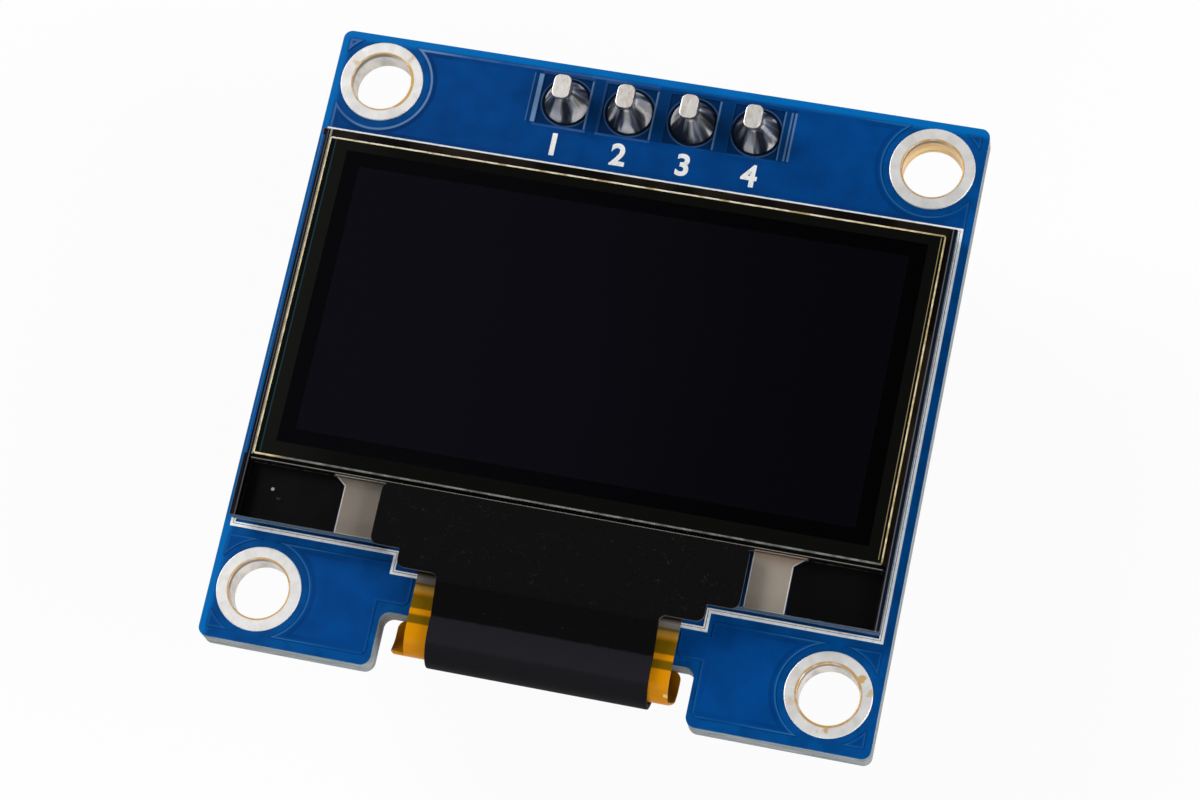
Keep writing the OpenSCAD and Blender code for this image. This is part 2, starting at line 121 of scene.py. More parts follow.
# The back
BACK_COPPER = (-12.65, -12.3, 12.65, 12.1)
BACK_PARTS = (-10.1, -7.0, 8.9, 8.3)        # free of copper for the parts
BACK_CUTS = [(-6.7, -12.9, 6.5, -6.5), (-5.1, 8.0, 5.6, 12.9)]      # and for the notch and the header
TAIL_X, TAIL_Y = -0.15, -7.8        # middle and head of the flex's row of contacts
CONTACTS, CONTACT_PITCH = 30, 0.35
CHIP_JOINTS = (("capacitor", 5, 0.42), ("resistor", 6, 0.26))       # kind, how many, height of the solder
CHIP_REACH = 0.84       # from the middle of a chip part to the end of its cap
CHIP_JOINT_WIDTH = 0.86
LEAD_JOINT_WIDTH, LEAD_JOINT_HEIGHT = 0.62, 0.12
LEAD_SPREAD = 0.95      # from the regulator's middle to its paired leads
VIAS = [(0.05, -2.4), (2.15, -2.4), (4.2, -2.4), (1.4, -0.6), (3.7, 6.2), (6.2, 6.0), (-9.0, 6.6), (8.1, 1.2),
        (-2.6, 2.9), (-11.2, 0.5), (-11.2, -4.0), (11.0, 2.5), (11.0, -3.0), (-11.2, 5.0), (11.0, 6.8),
        (-8.9, -9.3), (8.6, -9.3)]
THIN, CONTACT_Y = 0.16, -7.3        # width of the thin tracks, and where they leave the contacts


def fan(rows, high, end):
    """Tracks that leave the contacts, bend at their own height and run up to a part or a via."""
    return [(THIN, [(x, CONTACT_Y), (x, bend), (to, high), (to, end)]) for x, bend, to in rows]


TRACKS = [      # width and corners of the copper tracks
    *fan(((-5.22, -6.5, -7.6), (-4.17, -6.1, -5.4), (-3.12, -5.0, -3.2), (-1.72, -5.7, -1.0),
          (-0.32, -6.3, 1.1), (1.07, -6.9, 3.2), (2.82, -7.0, 5.2), (4.22, -7.1, 7.4)), -4.9, -4.1),
    *fan(((-1.02, -6.1, 0.05), (0.38, -6.6, 2.15), (2.12, -6.95, 4.2)), -5.0, -2.4),
    (THIN, [(1.4, -0.6), (2.3, 0.4), (2.8, 1.6), (2.8, 2.2), (3.2, 2.6), (3.7, 2.6)]),
    (0.45, [(-9.4, -1.6), (7.4, -1.6)]),
    *((0.35, [(x, -2.3), (x, -1.6)]) for x in (-7.6, -5.4, -3.2, 5.2, 7.4)),
    (0.5, [(-6.2, 4.55), (-5.4, 5.2), (-5.4, 6.3), (-2.4, 8.1), (-1.02, 9.5)]),
    (0.5, [(-6.2, 2.65), (-5.7, 2.3), (-4.4, 2.3), (-2.6, 2.9)]),
    (0.6, [(-9.0, 3.6), (-9.5, 3.1), (-9.5, -1.6)]),
    (0.2, [(1.52, 9.5), (1.52, 6.2), (3.2, 4.4), (3.7, 4.4)]),
    (0.2, [(4.06, 9.5), (4.06, 6.6), (3.7, 6.2)]),
    (0.25, [(5.5, 4.4), (6.2, 4.4), (6.2, 6.0)]),
    (0.25, [(5.5, 2.6), (6.2, 2.6), (6.2, 4.4)]),
]
PRINTED_FRAMES = [(-9.6, 1.7, -5.65, 5.5), (2.95, 1.75, 6.6, 5.25), (-5.15, 2.05, -3.65, 5.1),
                  (-8.35, -4.85, -2.4, -2.05), (4.45, -4.85, 5.95, -2.05)]
FRAME_WIDTH = 0.12


# ---- materials ----

def math_operator(operation):
    """A method of Value that adds this Math node."""
    return lambda self, *others: self.finish.math(operation, self, *others)


class Value:
    """A number that changes over a surface. Arithmetic on it adds Math nodes."""

    def __init__(self, finish, socket):
        self.finish = finish
        self.socket = socket

    __add__ = __radd__ = math_operator("ADD")
    __sub__ = math_operator("SUBTRACT")
    __mul__ = __rmul__ = math_operator("MULTIPLY")
    __truediv__ = math_operator("DIVIDE")
    __lt__ = math_operator("LESS_THAN")
    __gt__ = math_operator("GREATER_THAN")
    __or__ = math_operator("MAXIMUM")
    __and__ = math_operator("MINIMUM")
    __abs__ = math_operator("ABSOLUTE")

    def __rsub__(self, other):
        return self.finish.math("SUBTRACT", other, self)


class Nodes:
    """The nodes of a material or a world."""

    def __init__(self, owner):
        owner.use_nodes = True
        self.tree = owner.node_tree
        self.tree.nodes.clear()

    def node(self, kind, sockets=None, **settings):
        """Adds a node with these settings, and numbers or links in its sockets. Gives its outputs."""
        made = self.tree.nodes.new("ShaderNode" + kind)
        for key, value in settings.items():
            setattr(made, key, value)
        for key, value in (sockets or {}).items():
            value = value.socket if isinstance(value, Value) else value
            if isinstance(value, bpy.types.NodeSocket):
                self.tree.links.new(value, made.inputs[key])
            else:
                made.inputs[key].default_value = value
        return made.outputs

    def blend(self, factor, first, second):
        """The first shader where the factor is 0, and the second where it is 1."""
        return self.node("MixShader", {0: factor, 1: first, 2: second})[0]


class Finish(Nodes):
    """One material and the nodes that draw it. Its patterns read the object's own millimetres."""

    def __init__(self, name):
        self.material = bpy.data.materials.new(name)
        super().__init__(self.material)
        millimetres = {0: self.node("TexCoord")["Object"], "Scale": 1 / MM}
        self.place = self.node("VectorMath", millimetres, operation="SCALE")[0]
        parts = self.node("SeparateXYZ", {0: self.place})
        self.x, self.y, self.z = (Value(self, parts[i]) for i in range(3))

    def math(self, operation, *values):
        return Value(self, self.node("Math", dict(enumerate(values)), operation=operation)[0])

    def mix(self, a, b, factor):
        """Colour a where the factor is 0, and b where it is 1."""
        return self.node("Mix", {0: factor, 6: rgba(a), 7: rgba(b)}, data_type="RGBA")[2]

    def ramp(self, factor, stops):
        """A colour that runs through the stops, pairs of a place from 0 to 1 and a colour."""
        colour = self.node("ValToRGB", {0: factor})[0]
        elements = colour.node.color_ramp.elements
        while len(elements) < len(stops):
            elements.new(0.5)
        for element, (place, shade) in zip(elements, sorted(stops)):
            element.position = place
            element.color = rgba(shade)
        return colour

    def down(self, y, top, foot, stops):
        """The same for a height from the top to the foot, with stops at heights in millimetres."""
        def share(height):
            return (top - height) / (top - foot)
        return self.ramp(share(y), [(share(height), colour) for height, colour in stops])

    def soft(self, value, low, high):
        """0 up to low and 1 from high, with a soft change between them."""
        sockets = {0: value, 1: low, 2: high}
        return Value(self, self.node("MapRange", sockets, interpolation_type="SMOOTHSTEP")[0])

    def stretched(self, stretch):
        return self.node("VectorMath", {0: self.place, 1: stretch}, operation="MULTIPLY")[0]

    def noise(self, per_mm, detail=3.0, stretch=(1, 1, 1), distortion=0.0, place=None):
        """Cloudy noise from 0 to 1, with that many clouds to the millimetre."""
        sockets = {"Vector": place or self.stretched(stretch), "Scale": per_mm, "Detail": detail,
                   "Distortion": distortion}
        return Value(self, self.node("TexNoise", sockets)[0])

    def about(self, box):
        """Distance across and up from a rectangle's middle, seen from the front, and its half sizes."""
        x0, y0, x1, y1 = box
        return abs(self.x - (x0 + x1) / 2), abs(self.y - (y0 + y1) / 2), (x1 - x0) / 2, (y1 - y0) / 2

    def inside(self, box, edge=0.02):
        """1 inside a rectangle, with a soft edge."""
        x, y, half_x, half_y = self.about(box)
        outside_x = self.soft(x, half_x - edge, half_x + edge)
        outside_y = self.soft(y, half_y - edge, half_y + edge)
        return (1 - outside_x) * (1 - outside_y)

    def edge_of(self, box):
        """How far outside a rectangle a point is, below 0 inside it."""
        x, y, half_x, half_y = self.about(box)
        return (x - half_x) | (y - half_y)

    def line(self, value, middle, half):
        """1 where the value is at the middle, fading out to half its width on both sides."""
        return 1 - self.soft(abs(value - middle), half * 0.45, half)

    def length(self, dx, dy):
        return self.math("SQRT", dx * dx + dy * dy)

    def from_centre(self, x, y):
        """Distance in millimetres from an axis that runs front to back."""
        return self.length(self.x - x, self.y - y)

    def point(self, x, y, z):
        """A place made of three numbers, for noise that follows a round shape."""
        return self.node("CombineXYZ", {0: x, 1: y, 2: z})[0]

    def bump(self, height, depth):
        """Normal of a surface whose height goes up by depth millimetres."""
        return self.node("Bump", {"Height": height, "Distance": depth * MM})[0]

    def surface(self, colour, roughness, metallic=0.0, normal=None, specular=0.5):
        """Ends the material in one Principled shader."""
        sockets = {"Base Color": rgba(colour), "Roughness": roughness, "Metallic": metallic,
                   "Specular IOR Level": specular}
        if normal is not None:
            sockets["Normal"] = normal
        return self.output(self.node("BsdfPrincipled", sockets)[0])

    def output(self, shader):
        self.node("OutputMaterial", {0: shader})
        return self.material


def rgba(colour):
    return (*colour, 1) if isinstance(colour, tuple) and len(colour) == 3 else colour


def tone(shade, factor, lift=0.0):
    """A lighter or darker shade of a colour, never quite white."""
    return tuple(min(channel * factor + lift, 0.95) for channel in shade)


STEP_HIGHLIGHT = (0.17, 0.30, 0.52)         # painted highlight where the mask runs over a step


def mask_surface(f, colour, rougher=None):
    """Ends a material in the gloss and fine waves of cured solder mask."""
    roughness = 0.26 + 0.12 * f.noise(2.2)
    if rougher is not None:
        roughness = roughness + rougher
    waves = f.bump(f.noise(6.0, 2.0), 0.004)
    return f.surface(colour, roughness, normal=waves, specular=0.09)


def board_finish():
    """Blue mask on bare laminate, with glass cloth and resin showing on the cut edges."""
    f = Finish("board_mask_and_laminate")
    clouds = f.noise(1.3, 4.0)
    face = f.mix((0.0006, 0.074, 0.29), (0.0004, 0.056, 0.22), f.soft(clouds, 0.35, 0.65))
    # painted light: the board's left and top borders made lighter
    painted_light_sides = f.soft(0 - f.x, 12.55, 12.85) | f.soft(f.y, 12.0, 12.3)
    face = f.mix(face, (0.0006, 0.155, 0.50), painted_light_sides * 0.85)
    header = f.inside((HEADER_BOX[0] + 0.1, *HEADER_BOX[1:]))
    face = f.mix(face, (0.0002, 0.0212, 0.0931), header)
    for pin in PINS:
        rim = f.from_centre(pin.x, pin.y)
        face = f.mix(face, (0.0001, 0.006, 0.022), 1 - f.soft(rim, 0.96, 1.0))
        # painted highlight: a pale ring round each pin's dark gap
        face = f.mix(face, STEP_HIGHLIGHT, f.line(rim, 1.02, 0.03) * 0.25)
    layers = f.noise(1.2, 5.0, stretch=(0.7, 0.7, 9))
    grains = f.node("TexVoronoi", {"Vector": f.stretched((1, 1, 2)), "Scale": 5.0})
    fibres = Value(f, grains["Distance"])
    cut = f.ramp(layers, [(0.3, (0.19, 0.21, 0.22)), (0.5, (0.31, 0.335, 0.345)), (0.7, (0.46, 0.48, 0.48))])
    cut = f.mix(cut, (0.14, 0.165, 0.18), (1 - f.soft(fibres, 0.12, 0.3)) * 0.6)
    cut = f.mix(cut, (0.05, 0.30, 0.42), f.line(f.z, BOARD_TOP - 0.06, 0.06) * 0.55)
    edge = (f.z > 0.03) * (f.z < BOARD_TOP - 0.03)
    return mask_surface(f, f.mix(face, cut, edge), edge * 0.5)


def copper_edge(f):
    """How far outside the front copper a point is, below 0 on it."""
    edge = f.edge_of(COPPER_BOXES[0])
    for box in COPPER_BOXES[1:]:
        edge = edge & f.edge_of(box)
    for gap in PIN_GAPS:
        edge = edge | (0 - f.edge_of(gap))
    return edge


def hole_offset(f):
    """Offset from the axis of the nearest mounting hole, across and up, above 0 towards the board's edges."""
    return abs(f.x) - HOLE_X, abs(f.y) - HOLE_Y


def raised_mask_finish():
    """Blue mask over copper, with a painted highlight where it runs over the copper's edge and a painted
    shade line just inside it.
    """
    f = Finish("mask_over_copper")
    clouds = f.noise(0.9, 5.0)
    face = f.mix((0.0002, 0.050, 0.222), (0.0003, 0.062, 0.27), f.soft(clouds, 0.3, 0.7))
    face = f.mix(face, (0.0002, 0.032, 0.125), f.inside(HEADER_BOX) * 0.85)
    low, high = GAP_LOW + 0.02, GAP_HIGH - 0.02
    # painted highlights on the steps between the pin gaps
    for x0, x1, pale in HEADER_STEP_HIGHLIGHTS:
        face = f.mix(face, STEP_HIGHLIGHT, f.inside((x0, low, x1, high)) * pale)
    scuffs = f.noise(7.0, 6.0, distortion=1.5)
    dusty = f.soft(scuffs, 0.70, 0.76) * f.soft(f.noise(0.5), 0.52, 0.62)
    face = f.mix(face, (0.10, 0.17, 0.30), dusty * 0.5)
    away = f.length(*hole_offset(f))
    edge = copper_edge(f) | (CLEAR_R - away)
    inner = f.soft(HOLE_X + 0.9 - abs(f.x), -0.4, 0.6)
    near = (1 - f.soft(away, 2.1, 4.2)) * (0.35 + 0.65 * inner)
    patches = f.soft(f.noise(0.6, 2.0), 0.40, 0.62)
    # the painted highlight is stronger and wider in the upper left
    lit_upper_left = (f.y > 0) * (f.x < 0)
    strength = (0.10 + (0.62 * near | 0.20 * patches)) * (1 - 0.75 * f.inside(HEADER_BOX, 0.1))
    strength = strength * (0.60 + 0.40 * lit_upper_left)
    half = 0.034 + 0.026 * lit_upper_left
    # painted shade: a darker line just inside the copper's edge
    face = f.mix(face, (0.0001, 0.020, 0.095), f.line(edge, -0.20, 0.11) * strength * 0.8)
    # painted highlight along the copper's edge
    pale = f.mix((0.045, 0.22, 0.42), STEP_HIGHLIGHT, lit_upper_left)
    return mask_surface(f, f.mix(face, pale, f.line(edge, 0 - half, half) * strength))


def back_mask_finish():
    """The same mask over the copper and tracks of the back, with a painted highlight on their sloped edges.
    """
    f = Finish("mask_over_back_copper")
    clouds = f.noise(0.9, 5.0)
    face = f.mix((0.0003, 0.043, 0.19), (0.0006, 0.055, 0.24), f.soft(clouds, 0.3, 0.7))
    # painted highlight on the sloped edges of the copper and tracks
    slope = f.soft(f.z, -0.030, -0.012)
    return mask_surface(f, f.mix(face, STEP_HIGHLIGHT, slope * 0.55))


def print_finish():
    """White ink of the screen print, a little uneven."""
    f = Finish("white_print")
    clouds = f.noise(5.0, 4.0)
    colour = f.mix((0.80, 0.84, 0.88), (0.97, 0.98, 0.98), f.soft(clouds, 0.3, 0.55))
    return f.surface(colour, 0.55 + 0.2 * clouds, normal=f.bump(clouds, 0.006))


# Stains on the lower right ring: place from its axis, size and strength
STAINS = ((1.08, 0.80, 0.17, 0.85), (0.19, -1.30, 0.14, 0.8), (-1.30, -0.50, 0.14, 0.3))


def tinned_finish():
    """Hot-tinned copper with painted sheen in sectors that run out from the hole, a gold rim, and a grey or
    gold bore with a painted shadow in its upper-left wall.
    """
    f = Finish("tinned_ring_silver")
    dx, dy = hole_offset(f)
    angle = f.math("ARCTAN2", dy, dx)
    away = f.length(dx, dy)
    turned = f.point(angle * 1.8, away * 0.5, (f.x > 0) + 2.0 * (f.y > 0))
    # painted sheen: the tin lighter and darker in sectors round the hole; the same sectors break the gold rim
    sheen_and_rim_sectors = f.noise(1.3, place=turned)
    satin = f.noise(3.0, 5.0)
    tin = f.mix((0.84, 0.82, 0.79), (0.97, 0.965, 0.95), f.soft(sheen_and_rim_sectors, 0.30, 0.62))
    tin = f.mix(tin, (0.80, 0.78, 0.75), f.soft(satin, 0.50, 0.72) * 0.4)
    to_right = dx * f.math("SIGN", f.x)
    wide = (f.x > 0) * (f.y < 0) * 0.03 + (f.x < 0) * (f.y > 0) * f.soft(to_right, 0.5, 1.1) * 0.06
    rim = 1 - f.soft(away - wide, BORE_R + 0.055, BORE_R + 0.09)
    specks = f.soft(f.noise(1.1, 2.0, stretch=(1.3, 1, 1)), 0.66, 0.74)
    broken = 0.55 + 0.45 * f.soft(sheen_and_rim_sectors, 0.38, 0.5)
    stains = specks * 0.5
    ragged = (f.noise(2.6) - 0.5) * 0.55
    for x, y, size, depth in STAINS:
        patch = f.from_centre(HOLE_X + x, y - HOLE_Y) + ragged
        stains = stains | (1 - f.soft(patch, size - 0.06, size + 0.03)) * depth
    colour = f.mix(tin, (0.70, 0.40, 0.11), (rim * broken * 0.95) | stains)
    colour = f.mix(colour, (0.82, 0.52, 0.18), stains * f.soft(satin, 0.45, 0.6) * 0.6)
    ridges = f.noise(1.0, place=f.point(angle * 2.0, f.z * 0.5, f.x * 0.3))
    grey = f.mix((0.50, 0.45, 0.41), (0.78, 0.73, 0.68), f.soft(ridges, 0.3, 0.65))
    thread = f.noise(1.0, place=f.point(angle * 0.7, f.z * 9.0, 0.0))
    yellow = f.mix((0.62, 0.38, 0.12), (0.95, 0.70, 0.34), f.soft(thread, 0.35, 0.6))
    bore = f.mix(grey, yellow, (f.x > 0) * (f.y > 0))
    # painted shadow high in the upper-left wall of the bore
    to_upper_left = dy * f.math("SIGN", f.y) - to_right
    painted_bore_shadow = f.soft(to_upper_left, 0.3, 1.3) * f.line(f.z, BOARD_TOP - 0.10, 0.20)
    bore = f.mix(bore, (0.045, 0.038, 0.034), painted_bore_shadow * 0.8)
    colour = f.mix(colour, bore, 1 - f.soft(away, BORE_R + 0.002, BORE_R + 0.006))
    return f.surface(colour, 0.36 + 0.16 * satin, 0.45, f.bump(satin, 0.008))


def solder_finish():
    """Bright solder drawn up the pins, with painted reflections in dark and light streaks that run up the
    cones, and painted highlights low on them.
    """
    f = Finish("bright_solder")
    across = f.math("WRAP", f.x - PINS[0].x, PITCH / 2, -PITCH / 2)
    angle = f.math("ARCTAN2", f.y - PINS[0].y, across)
    turned = f.point(angle * 1.1, f.z * 0.25, (f.x - across) * 0.7)
    streaks = f.noise(1.5, 2.0, place=turned)
    # painted reflections: dark and light streaks up the cones
    painted_reflections = f.mix((0.050, 0.054, 0.062), (0.56, 0.555, 0.55), f.soft(streaks, 0.38, 0.60))
    # painted highlights, strongest low on each cone
    low_part = f.soft(BOARD_TOP + 0.75 - f.z, 0.0, 0.6)
    bright = f.soft(streaks + 0.07 * low_part, 0.54, 0.61) * (0.3 + 0.7 * low_part)
    colour = f.mix(painted_reflections, (0.93, 0.90, 0.86), bright)
    waves = f.noise(1.8, 2.0)
    return f.surface(colour, 0.24 + 0.12 * waves, 0.78 - 0.55 * bright, f.bump(waves, 0.012))


def pin_finish():
    """Tinned square pin with a bare, cropped end."""
    f = Finish("pin_metal")
    streaks = f.noise(2.0, stretch=(4, 4, 0.5))
    tin = f.mix((0.74, 0.70, 0.62), (0.90, 0.86, 0.78), streaks)
    crop = f.noise(2.5, stretch=(2, 1, 1))
    brass = f.mix((0.86, 0.79, 0.72), (0.97, 0.94, 0.90), f.soft(crop, 0.35, 0.55))
    brass = f.mix((0.62, 0.33, 0.14), brass, f.soft(f.z, PIN_TOP - 0.022, PIN_TOP - 0.006))
    end = f.soft(f.z, PIN_TOP - 0.07, PIN_TOP - 0.03)
    colour = f.mix(tin, brass, end)
    return f.surface(colour, 0.24 + 0.2 * end + 0.1 * streaks, 1.0, f.bump(crop, 0.01))


def plastic_finish(name, shade, roughness=0.5, grain=8.0):
    """Moulded dark plastic or epoxy with a fine grain."""
    f = Finish(name)
    speckle = f.noise(grain, 5.0)
    colour = f.mix(shade, tone(shade, 1.9, 0.004), f.soft(speckle, 0.35, 0.75))
    return f.surface(colour, roughness - 0.1 + 0.2 * speckle, normal=f.bump(speckle, 0.01))


def film_finish():
    """Dark polarising film over the display: pale cut edges, grey seal frame, black border, lit area, all but
    the edges lighter towards the left as a painted reflection.
    """
    f = Finish("polarizing_film")
    haze = f.noise(0.25, 2.0)
    # painted reflection: the frame, the black border and the lit area lighter towards the left
    left = 1 - f.soft(f.x, -11.9, -8.0)
    frame_tone = f.mix((0.0042, 0.0042, 0.0036), (0.0080, 0.0080, 0.0068), left)
    frame_tone = f.mix(frame_tone, (0.0030, 0.0048, 0.0052), f.x < -11.92)
    frame_tone = f.mix(frame_tone, (0.018, 0.042, 0.052), f.line(f.x, -11.93, 0.035) * 0.8)
    painted_reflection_leftwards = 1 - f.soft(f.x + 3 * haze, -7, 11)
    black = f.mix((0.0008, 0.0008, 0.0012), (0.0024, 0.0021, 0.0031), painted_reflection_leftwards)
    lit = f.mix((0.0024, 0.0023, 0.0036), (0.0044, 0.0041, 0.0070), painted_reflection_leftwards)
    colour = f.mix(frame_tone, black, f.inside(WINDOW, 0.015))
    colour = f.mix(colour, lit, f.inside(LIT, 0.015))
    cut = f.soft(f.noise(2.5, 4.0), 0.3, 0.7)
    yellow = f.mix((0.42, 0.31, 0.13), (0.88, 0.74, 0.44), cut)
    grey = f.mix((0.10, 0.11, 0.105), (0.30, 0.31, 0.29), cut)
    lower = f.soft(0 - f.y, 5.55, 5.57) * f.soft(f.x, -11.6, -10.6)
    top = f.soft(f.y, 7.40, 7.44) * (1 - f.soft(f.x, 6, 11))
    pale = f.mix(f.mix(yellow, grey, lower), (0.90, 0.86, 0.74), top * f.soft(cut, 0.0, 0.4))
    right = (f.x > 12.15) * (f.y > -5.55)
    upper_left = (f.y > FILM_HIGH.y - 0.085) | (f.x < FILM_LOW.x + 0.07)
    inner = f.line(f.x, 12.04, 0.02) * (f.y > -5.5) * (f.y < 7.35)
    colour = f.mix(colour, (0.27, 0.22, 0.12), inner)
    side = (f.z < FILM_HIGH.z - 0.012) | right | upper_left
    colour = f.mix(colour, pale, side)
    dust = f.soft(f.noise(9.0, 2.0), 0.79, 0.81)
    colour = f.mix(colour, (0.03, 0.03, 0.03), dust * 0.35)
    return f.surface(colour, 0.12 + 0.05 * haze + 0.3 * side, specular=0.06)


def glass_finish():
    """Clear display glass with a mirror-like skin, dark and solid in its walls and round the film."""
    f = Finish("display_glass")
    clear = f.node("BsdfTransparent", {0: (0.985, 0.99, 0.99, 1)})[0]
    gloss = f.node("BsdfGlossy", {0: (1, 1, 1, 1), "Roughness": 0.03})[0]
    bands = f.noise(0.8, stretch=(0.5, 0.5, 9))
    tint = f.mix((0.020, 0.018, 0.024), (0.04, 0.09, 0.14), f.soft(f.x, 0, 12) | f.soft(0 - f.y, 6, 8))
    edge_tone = f.mix(tint, (0.13, 0.15, 0.165), f.soft(bands, 0.35, 0.75))
    low, high = GLASS_LOW, GLASS_HIGH
    near = 0.012            # how far in the side walls count as such
    wall = (abs(f.x) > high.x - near) | (f.y > high.y - near) | (f.y < low.y + near)
    ledge = f.y < FILM_LOW.y
    margin = (abs(f.x) > FILM_HIGH.x + 0.01 + 0.13 * ledge) | (f.y > FILM_HIGH.y + 0.01)
    brown = f.mix((0.0035, 0.0028, 0.0026), (0.020, 0.014, 0.010), f.soft(bands, 0.42, 0.70))
    ledge_line = f.line(f.y, FILM_LOW.y - 0.145, 0.022) * (abs(f.x) < FILM_HIGH.x + 0.05)
    outer = f.soft(abs(f.x), FILM_HIGH.x + 0.25, FILM_HIGH.x + 0.28) * (abs(f.x) < high.x)
    blue = f.mix((0.001, 0.082, 0.29), (0.006, 0.008, 0.014), (f.x > 0) | ledge)
    brown = f.mix(brown, blue, outer * (f.y < high.y - 0.3))
    brown = f.mix(brown, (0.16, 0.18, 0.24), f.line(f.x, FILM_HIGH.x + 0.22, 0.03) * 0.6)
    brown = f.mix(brown, (0.30, 0.29, 0.28), f.line(f.x, FILM_LOW.x - 0.05, 0.05) * (1 - ledge))
    brown = f.mix(brown, (0.10, 0.09, 0.11), f.line(f.x, 0 - FILM_HIGH.x - 0.17, 0.03) * 0.8)
    edge_tone = f.mix(edge_tone, brown, 1 - wall)
    edge_tone = f.mix(edge_tone, (0.24, 0.215, 0.19), ledge_line)
    edge = f.node("BsdfPrincipled", {"Base Color": edge_tone, "Roughness": 0.2, "Specular IOR Level": 0.2})[0]
    skin = f.node("LayerWeight", {"Blend": 0.15})["Fresnel"]
    return f.output(f.blend(wall | margin | ledge_line, f.blend(skin, clear, gloss), edge))


def rear_glass_finish():
    """Rear glass cap, dark from the films inside it, with green-grey ground edges."""
    f = Finish("rear_cap_glass")
    ground = f.noise(3.0, 4.0, stretch=(1, 1, 3))
    film = f.mix((0.0050, 0.0046, 0.0040), (0.010, 0.009, 0.008), ground)
    side = f.mix((0.035, 0.055, 0.06), (0.10, 0.14, 0.15), ground)
    colour = f.mix(side, film, f.z > BOARD_TOP + 0.58)
    return f.surface(colour, 0.25 + 0.2 * ground, specular=0.2)


def dark_film_finish(name, dull, bright, roughness, per_mm=1.0, spread=0.15, specular=0.5):
    """Thin dark coating, foam or resin, nearly even, with slight clouds."""
    f = Finish(name)
    clouds = f.noise(per_mm)
    return f.surface(f.mix(dull, bright, clouds), roughness + spread * clouds, specular=specular)


def ledge_finish():
    """Black coating under the display's ledge, with a pinhole and a small round scratch."""
    f = Finish("ledge_black")
    clouds = f.noise(1.0)
    colour = f.mix((0.0030, 0.0030, 0.0034), (0.0048, 0.0046, 0.0050), clouds)
    colour = f.mix(colour, (0.50, 0.50, 0.48), 1 - f.soft(f.from_centre(-11.28, -6.75), 0.05, 0.08))
    scratch = f.line(f.from_centre(-10.98, -7.05), 0.06, 0.02) * (f.y < -7.03)
    colour = f.mix(colour, (0.08, 0.08, 0.08), scratch)
    return f.surface(colour, 0.25 + 0.15 * clouds, specular=0.1)


def sheet_finish(name, shade, roughness):
    """Pale sheet or ceramic with fine specks."""
    f = Finish(name)
    specks = f.noise(12.0, 4.0)
    colour = f.mix(tone(shade, 0.75), shade, f.soft(specks, 0.3, 0.6))
    return f.surface(colour, roughness, normal=f.bump(specks, 0.008))


def tab_finish(name, shade):
    """Thin metal electrode behind the glass, taupe with faint rolling lines, the right one made lighter by
    painted light, and warmer at the upper right.
    """
    f = Finish(name)
    lines = f.noise(6.0, stretch=(0.3, 3, 1))
    colour = f.mix(shade, tone(shade, 1.25), lines)
    # painted light: the right electrode made lighter
    colour = f.mix(colour, tone(shade, 2.0), (f.x > 0) * 0.55)
    right = f.soft(f.x, 0, 1) * f.soft(f.y, -6.3, -5.8)
    colour = f.mix(colour, (0.50, 0.31, 0.17), right * 0.5)
    return f.surface(colour, 0.42, specular=0.2)


def flex_finish():
    """Amber polyimide. Copper under it shows olive, and bare film is bright orange, its amber with painted
    light shining through it. A painted shadow of the tape darkens its top, and a painted highlight crosses
    the ears' fold.
    """
    f = Finish("amber_flex")
    amber, olive, deep = (0.70, 0.27, 0.002), (0.175, 0.095, 0.002), (0.66, 0.25, 0.004)
    # the two darkest stops at the top are a painted shadow of the tape
    stops = [(-8.2, (0.02, 0.012, 0.004)), (-8.95, (0.03, 0.016, 0.006)), (-9.12, (0.26, 0.235, 0.22)),
             (-9.28, (0.20, 0.17, 0.13)), (-9.36, (0.10, 0.065, 0.012)), (-9.46, (0.36, 0.20, 0.03)),
             (-9.62, (0.44, 0.24, 0.04)), (-9.72, (0.42, 0.17, 0.002)), (-9.82, olive),
             (-10.28, olive), (-10.34, amber), (-10.50, amber), (-10.58, olive), (-10.86, olive),
             (-10.92, amber), (-11.55, amber), (-11.65, deep)]
    front = f.down(f.y, -8.2, -12.2, stops)
    stripes = f.math("PINGPONG", f.x - 0.04, 0.16)
    copper = f.soft(stripes, 0.055, 0.075) * ((f.x > -4.75) * (f.x < 4.45))
    back = f.mix(amber, (0.30, 0.135, 0.012), copper)
    ear = abs(f.x - (FLEX_LOW.x + FLEX_HIGH.x) / 2) > (FLEX_HIGH.x - FLEX_LOW.x) / 2 - 0.32
    # painted highlight: a bright crescent across each ear's fold
    front = f.mix(front, (0.95, 0.70, 0.34), f.line(f.y, -11.78, 0.06) * ear * 0.7)
    colour = f.mix(front, back, f.z < 0.45)
    clouds = f.noise(2.0, 4.0)
    colour = f.mix(colour, (0.04, 0.015, 0.0), f.soft(clouds, 0.62, 0.8) * 0.15)
    return f.surface(colour, 0.26 + 0.12 * clouds, normal=f.bump(clouds, 0.006), specular=0.04)


